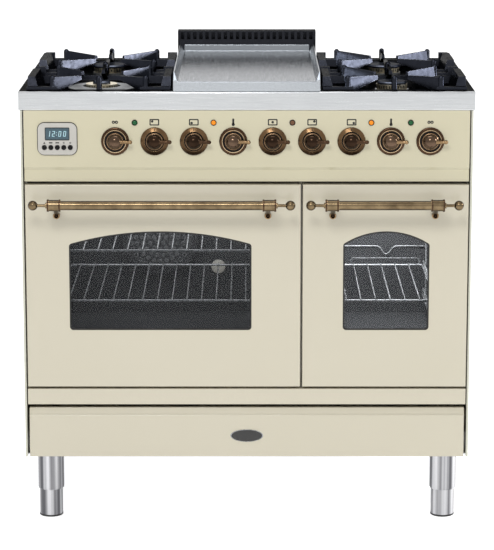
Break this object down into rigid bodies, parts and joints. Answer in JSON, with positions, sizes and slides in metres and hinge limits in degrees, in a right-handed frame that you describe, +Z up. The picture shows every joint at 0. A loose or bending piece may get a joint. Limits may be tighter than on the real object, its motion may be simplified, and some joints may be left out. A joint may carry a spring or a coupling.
{
  "type": "range cooker with double oven",
  "caption": "Free-standing range cooker with a wide and a narrow drop-down oven, gas burners with cast grates, a central griddle plate, lever knobs, a timer and a storage drawer.",
  "frame": {"origin": "centre of the footprint on the floor, under the middle of the bounding box", "axes": "+X to the right seen from the front, +Y towards the wall behind, +Z up"},
  "size_m": [0.9, 0.657, 0.938],
  "materials": {
    "side_enamel": "satin",
    "galvanised_steel": "galvanised sheet",
    "cream_enamel": "gloss vitreous cream",
    "panel_enamel": "gloss vitreous cream, yellower",
    "stainless": "brushed",
    "polished_stainless": "polished",
    "mirror_stainless": "mirror polished",
    "black_enamel": "gloss black enamel",
    "cast_aluminium": "cast",
    "brass_ring": "turned",
    "brass_fitting": "machined",
    "cap_enamel": "matt black enamel",
    "grate_iron": "enamelled cast iron",
    "aged_bronze": "aged bronze",
    "dark_bronze": "dark aged bronze",
    "aged_brass": "aged brass",
    "lamp_lens": "translucent lens",
    "timer_plastic": "satin light grey",
    "button_plastic": "black",
    "hinge_steel": "plated",
    "oven_enamel": "gloss dark grey enamel",
    "rack_chrome": "bright chrome",
    "fan_aluminium": "pressed",
    "element_sheath": "heat-stained",
    "drawer_enamel": "grey paint",
    "door_glass": "tinted"
  },
  "bodies": {
    "cabinet": {"side_panels": "side_enamel", "back_panel": "galvanised_steel", "base_frame": "galvanised_steel", "front_frame": "cream_enamel", "front_rail": "stainless", "leg_sleeves": "polished_stainless", "hob_top": "black_enamel", "burner_bodies": "cast_aluminium", "flame_rings": "brass_ring", "vent_grille": "black_enamel", "control_panel": "panel_enamel", "knob_bezels": "aged_bronze", "gas_taps_and_switches": "brass_fitting", "gas_manifold": "galvanised_steel", "indicator_lamps": "lamp_lens", "timer_housing": "timer_plastic", "door_hinges": "hinge_steel", "oven_liners": "oven_enamel", "rack_guides": "rack_chrome", "fan_cover": "oven_enamel", "fan_motor": "galvanised_steel", "heating_elements": "element_sheath"},
    "left_door": {"left_door_panel": "cream_enamel", "left_door_liner": "oven_enamel", "left_door_glass": "door_glass", "left_door_handle": "aged_brass"},
    "right_door": {"right_door_panel": "cream_enamel", "right_door_liner": "oven_enamel", "right_door_glass": "door_glass", "right_door_handle": "aged_brass"},
    "drawer": {"drawer_front": "cream_enamel", "drawer_box": "drawer_enamel"},
    "feet": {"levelling_feet": "polished_stainless"},
    "griddle": {"griddle_plate": "mirror_stainless"},
    "convection_fan": {"oven_fan": "fan_aluminium"},
    "left_upper_rack": {"left_upper_rack": "rack_chrome"},
    "left_lower_rack": {"left_lower_rack": "rack_chrome"},
    "right_rack": {"right_rack": "rack_chrome"},
    "rear_left_cap": {"rear_left_burner_cap": "cap_enamel"},
    "rear_left_grate": {"rear_left_grate": "grate_iron"},
    "front_left_cap": {"front_left_burner_cap": "cap_enamel"},
    "front_left_grate": {"front_left_grate": "grate_iron"},
    "rear_right_cap": {"rear_right_burner_cap": "cap_enamel"},
    "rear_right_grate": {"rear_right_grate": "grate_iron"},
    "front_right_cap": {"front_right_burner_cap": "cap_enamel"},
    "front_right_grate": {"front_right_grate": "grate_iron"},
    "left_oven_function_knob": {"left_oven_function_knob": "dark_bronze"},
    "rear_left_gas_knob": {"rear_left_gas_knob": "dark_bronze"},
    "front_left_gas_knob": {"front_left_gas_knob": "dark_bronze"},
    "left_oven_thermostat_knob": {"left_oven_thermostat_knob": "dark_bronze"},
    "griddle_gas_knob": {"griddle_gas_knob": "dark_bronze"},
    "rear_right_gas_knob": {"rear_right_gas_knob": "dark_bronze"},
    "front_right_gas_knob": {"front_right_gas_knob": "dark_bronze"},
    "right_oven_thermostat_knob": {"right_oven_thermostat_knob": "dark_bronze"},
    "right_oven_function_knob": {"right_oven_function_knob": "dark_bronze"},
    "timer_button_1": {"timer_button_1": "button_plastic"},
    "timer_button_2": {"timer_button_2": "button_plastic"},
    "timer_button_3": {"timer_button_3": "button_plastic"},
    "timer_button_4": {"timer_button_4": "button_plastic"},
    "timer_button_5": {"timer_button_5": "button_plastic"}
  },
  "joints": [
    {"name": "left_door_hinge", "type": "hinge", "parent": "cabinet", "child": "left_door", "pos_m": [-0.166, -0.2645, 0.285], "axis": [1, 0, 0], "range_deg": [0, 90], "stiffness_Nm_per_rad": 3, "springref_deg": -28.65},
    {"name": "right_door_hinge", "type": "hinge", "parent": "cabinet", "child": "right_door", "pos_m": [0.276, -0.2645, 0.285], "axis": [1, 0, 0], "range_deg": [0, 90], "stiffness_Nm_per_rad": 3, "springref_deg": -28.65},
    {"name": "drawer_slide", "type": "slide", "parent": "cabinet", "child": "drawer", "axis": [0, -1, 0], "range_m": [0, 0.35]},
    {"name": "feet_adjust", "type": "slide", "parent": "cabinet", "child": "feet", "axis": [0, 0, -1], "range_m": [0, 0.035]},
    {"name": "left_upper_rack_slide", "type": "slide", "parent": "cabinet", "child": "left_upper_rack", "axis": [0, -1, 0], "range_m": [0, 0.24]},
    {"name": "left_lower_rack_slide", "type": "slide", "parent": "cabinet", "child": "left_lower_rack", "axis": [0, -1, 0], "range_m": [0, 0.19]},
    {"name": "right_rack_slide", "type": "slide", "parent": "cabinet", "child": "right_rack", "axis": [0, -1, 0], "range_m": [0, 0.19]},
    {"name": "rear_left_grate_lift", "type": "slide", "parent": "cabinet", "child": "rear_left_grate", "axis": [0, 0, 1], "range_m": [0, 0.15]},
    {"name": "rear_left_cap_lift", "type": "slide", "parent": "cabinet", "child": "rear_left_cap", "axis": [0, 0, 1], "range_m": [0, 0.15]},
    {"name": "front_left_grate_lift", "type": "slide", "parent": "cabinet", "child": "front_left_grate", "axis": [0, 0, 1], "range_m": [0, 0.15]},
    {"name": "front_left_cap_lift", "type": "slide", "parent": "cabinet", "child": "front_left_cap", "axis": [0, 0, 1], "range_m": [0, 0.15]},
    {"name": "rear_right_grate_lift", "type": "slide", "parent": "cabinet", "child": "rear_right_grate", "axis": [0, 0, 1], "range_m": [0, 0.15]},
    {"name": "rear_right_cap_lift", "type": "slide", "parent": "cabinet", "child": "rear_right_cap", "axis": [0, 0, 1], "range_m": [0, 0.15]},
    {"name": "front_right_grate_lift", "type": "slide", "parent": "cabinet", "child": "front_right_grate", "axis": [0, 0, 1], "range_m": [0, 0.15]},
    {"name": "front_right_cap_lift", "type": "slide", "parent": "cabinet", "child": "front_right_cap", "axis": [0, 0, 1], "range_m": [0, 0.15]},
    {"name": "griddle_lift", "type": "slide", "parent": "cabinet", "child": "griddle", "axis": [0, 0, 1], "range_m": [0, 0.15]},
    {"name": "fan_spin", "type": "hinge", "parent": "cabinet", "child": "convection_fan", "pos_m": [-0.188, 0.2085, 0.5], "axis": [0, 1, 0], "continuous": true},
    {"name": "left_oven_function_turn", "type": "hinge", "parent": "cabinet", "child": "left_oven_function_knob", "pos_m": [-0.26, -0.2695, 0.777], "axis": [0, -1, 0], "range_deg": [-270, 0]},
    {"name": "rear_left_gas_turn", "type": "hinge", "parent": "cabinet", "child": "rear_left_gas_knob", "pos_m": [-0.1822, -0.2695, 0.777], "axis": [0, -1, 0], "range_deg": [0, 210]},
    {"name": "front_left_gas_turn", "type": "hinge", "parent": "cabinet", "child": "front_left_gas_knob", "pos_m": [-0.1044, -0.2695, 0.777], "axis": [0, -1, 0], "range_deg": [0, 210]},
    {"name": "left_oven_thermostat_turn", "type": "hinge", "parent": "cabinet", "child": "left_oven_thermostat_knob", "pos_m": [-0.0266, -0.2695, 0.777], "axis": [0, -1, 0], "range_deg": [-270, 0]},
    {"name": "griddle_gas_turn", "type": "hinge", "parent": "cabinet", "child": "griddle_gas_knob", "pos_m": [0.0512, -0.2695, 0.777], "axis": [0, -1, 0], "range_deg": [0, 210]},
    {"name": "rear_right_gas_turn", "type": "hinge", "parent": "cabinet", "child": "rear_right_gas_knob", "pos_m": [0.129, -0.2695, 0.777], "axis": [0, -1, 0], "range_deg": [0, 210]},
    {"name": "front_right_gas_turn", "type": "hinge", "parent": "cabinet", "child": "front_right_gas_knob", "pos_m": [0.2068, -0.2695, 0.777], "axis": [0, -1, 0], "range_deg": [0, 210]},
    {"name": "right_oven_thermostat_turn", "type": "hinge", "parent": "cabinet", "child": "right_oven_thermostat_knob", "pos_m": [0.2846, -0.2695, 0.777], "axis": [0, -1, 0], "range_deg": [-270, 0]},
    {"name": "right_oven_function_turn", "type": "hinge", "parent": "cabinet", "child": "right_oven_function_knob", "pos_m": [0.3624, -0.2695, 0.777], "axis": [0, -1, 0], "range_deg": [-270, 0]},
    {"name": "timer_button_1_press", "type": "slide", "parent": "cabinet", "child": "timer_button_1", "axis": [0, 1, 0], "range_m": [0, 0.0015], "stiffness_N_per_m": 300, "springref_m": -0.001},
    {"name": "timer_button_2_press", "type": "slide", "parent": "cabinet", "child": "timer_button_2", "axis": [0, 1, 0], "range_m": [0, 0.0015], "stiffness_N_per_m": 300, "springref_m": -0.001},
    {"name": "timer_button_3_press", "type": "slide", "parent": "cabinet", "child": "timer_button_3", "axis": [0, 1, 0], "range_m": [0, 0.0015], "stiffness_N_per_m": 300, "springref_m": -0.001},
    {"name": "timer_button_4_press", "type": "slide", "parent": "cabinet", "child": "timer_button_4", "axis": [0, 1, 0], "range_m": [0, 0.0015], "stiffness_N_per_m": 300, "springref_m": -0.001},
    {"name": "timer_button_5_press", "type": "slide", "parent": "cabinet", "child": "timer_button_5", "axis": [0, 1, 0], "range_m": [0, 0.0015], "stiffness_N_per_m": 300, "springref_m": -0.001}
  ],
  "couplings": [
    {"joint": "left_upper_rack_slide", "follows": "left_door_hinge", "m_per_rad": 0.15},
    {"joint": "left_lower_rack_slide", "follows": "left_door_hinge", "m_per_rad": 0.12},
    {"joint": "right_rack_slide", "follows": "right_door_hinge", "m_per_rad": 0.12}
  ]
}
